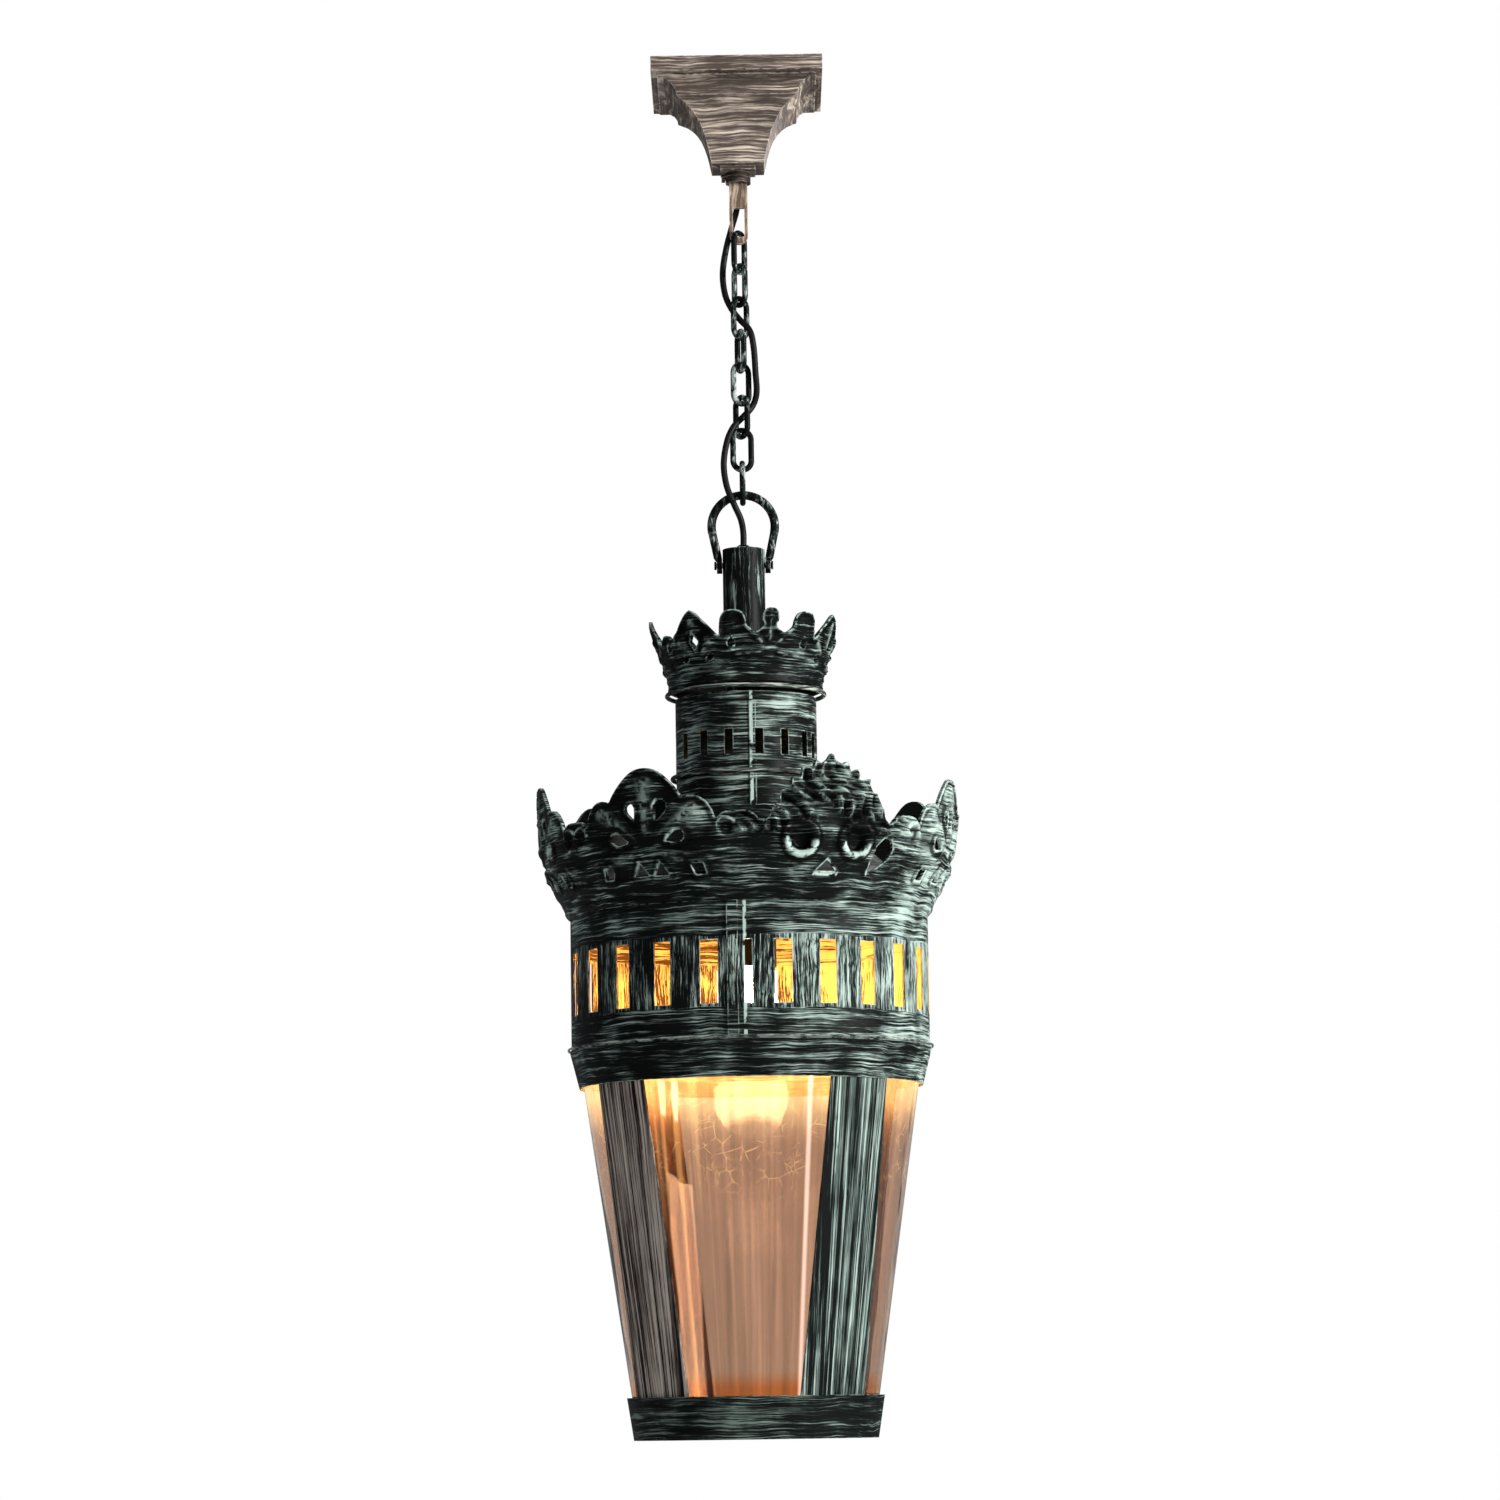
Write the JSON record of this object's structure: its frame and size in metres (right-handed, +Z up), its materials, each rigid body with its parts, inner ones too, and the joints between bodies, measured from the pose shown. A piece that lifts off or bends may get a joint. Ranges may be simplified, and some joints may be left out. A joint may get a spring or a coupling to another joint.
{
  "type": "pendant light",
  "caption": "Hanging lantern with two pierced crowns, slotted drums and a conical glass in four straps, on a chain with a black cable below a square canopy.",
  "frame": {"origin": "middle of the canopy's face against the ceiling", "axes": "+Z up out of the ceiling face, the lantern hangs along -Z; -Y is the front, with the drum's lapped seam; +X is the viewer's right"},
  "size_m": [0.295, 0.2948, 0.9731],
  "materials": {
    "bracket_steel": "zinc plated, satin",
    "terminal_plastic": "moulded",
    "hook_bronze": "beige bronze brushed over brown",
    "cable_black": "smooth black sheath",
    "canopy_brown": "brown brushed with beige",
    "collar_dark": "dark brown",
    "chain_green": "green-black, brushed with grey-green",
    "bail_green": "green-black",
    "lantern_green": "green-black brushed with grey-green, gold inside",
    "crown_green": "green-black cast metal with brushed pale edges",
    "bead_pale": "worn pale edge",
    "tube_brass": "plain",
    "ledge_gold": "gold paint",
    "amber_glass": "clear amber tint",
    "holder_dark": "moulded",
    "bulb_warm": "frosted, lit warm"
  },
  "bodies": {
    "ceiling_mount": {"ceiling_bracket": "bracket_steel", "terminal_block": "terminal_plastic", "hook": "hook_bronze", "hook_nuts": "bracket_steel", "pendant_cable": "cable_black"},
    "canopy_body": {"canopy": "canopy_brown", "canopy_collar": "collar_dark", "collar_screw": "collar_dark"},
    "link_1": {"chain_link_1": "chain_green"},
    "link_2": {"chain_link_2": "chain_green"},
    "link_3": {"chain_link_3": "chain_green"},
    "link_4": {"chain_link_4": "chain_green"},
    "link_5": {"chain_link_5": "chain_green"},
    "link_6": {"chain_link_6": "chain_green"},
    "link_7": {"chain_link_7": "chain_green"},
    "link_8": {"chain_link_8": "chain_green"},
    "bail_body": {"bail": "bail_green"},
    "lantern": {"stem": "lantern_green", "cable_entry": "lantern_green", "bail_pins": "bail_green", "centre_tube": "tube_brass", "tube_nuts": "tube_brass", "cross_bar": "bracket_steel", "flex_in_tube": "cable_black", "small_crown": "crown_green", "small_crown_bead": "bead_pale", "neck_plate": "lantern_green", "neck_drum": "lantern_green", "neck_bead": "bead_pale", "neck_tube": "lantern_green", "roof": "lantern_green", "big_crown": "crown_green", "drum": "lantern_green", "drum_bead": "bead_pale", "shoulder_band": "lantern_green", "strap_1": "lantern_green", "strap_2": "lantern_green", "strap_3": "lantern_green", "strap_4": "lantern_green", "bottom_ring": "lantern_green", "glass_ledge": "ledge_gold", "glass_cone": "amber_glass", "holder_cap": "holder_dark", "holder_shell": "holder_dark", "bulb": "bulb_warm"}
  },
  "joints": [
    {"name": "canopy_slide", "type": "slide", "parent": "ceiling_mount", "child": "canopy_body", "axis": [0, 0, -1], "range_m": [0, 0.02]},
    {"name": "link_1_swing", "type": "hinge", "parent": "ceiling_mount", "child": "link_1", "pos_m": [0, 0, -0.12], "axis": [1, 0, 0], "range_deg": [-10, 10], "deforming": ["pendant_cable"]},
    {"name": "link_2_swing", "type": "hinge", "parent": "link_1", "child": "link_2", "pos_m": [0, 0, -0.1436], "axis": [0.5592, 0.829, 0], "range_deg": [-12, 12]},
    {"name": "link_3_swing", "type": "hinge", "parent": "link_2", "child": "link_3", "pos_m": [0, 0, -0.1676], "axis": [0.5736, -0.8192, 0], "range_deg": [-12, 12]},
    {"name": "link_4_swing", "type": "hinge", "parent": "link_3", "child": "link_4", "pos_m": [0, 0, -0.1916], "axis": [0.6947, 0.7193, 0], "range_deg": [-12, 12]},
    {"name": "link_5_swing", "type": "hinge", "parent": "link_4", "child": "link_5", "pos_m": [0, 0, -0.2156], "axis": [0.342, -0.9397, 0], "range_deg": [-12, 12]},
    {"name": "link_6_swing", "type": "hinge", "parent": "link_5", "child": "link_6", "pos_m": [0, 0, -0.2396], "axis": [0.8192, 0.5736, 0], "range_deg": [-12, 12]},
    {"name": "link_7_swing", "type": "hinge", "parent": "link_6", "child": "link_7", "pos_m": [0, 0, -0.2636], "axis": [0.6157, -0.788, 0], "range_deg": [-12, 12]},
    {"name": "link_8_swing", "type": "hinge", "parent": "link_7", "child": "link_8", "pos_m": [0, 0, -0.2876], "axis": [0.9781, 0.2079, 0], "range_deg": [-12, 12]},
    {"name": "bail_swing", "type": "hinge", "parent": "link_8", "child": "bail_body", "pos_m": [0, 0, -0.3116], "axis": [0, 1, 0], "range_deg": [-15, 15]},
    {"name": "lantern_swing", "type": "hinge", "parent": "bail_body", "child": "lantern", "pos_m": [0, 0, -0.3568], "axis": [1, 0, 0], "range_deg": [-25, 25]}
  ]
}
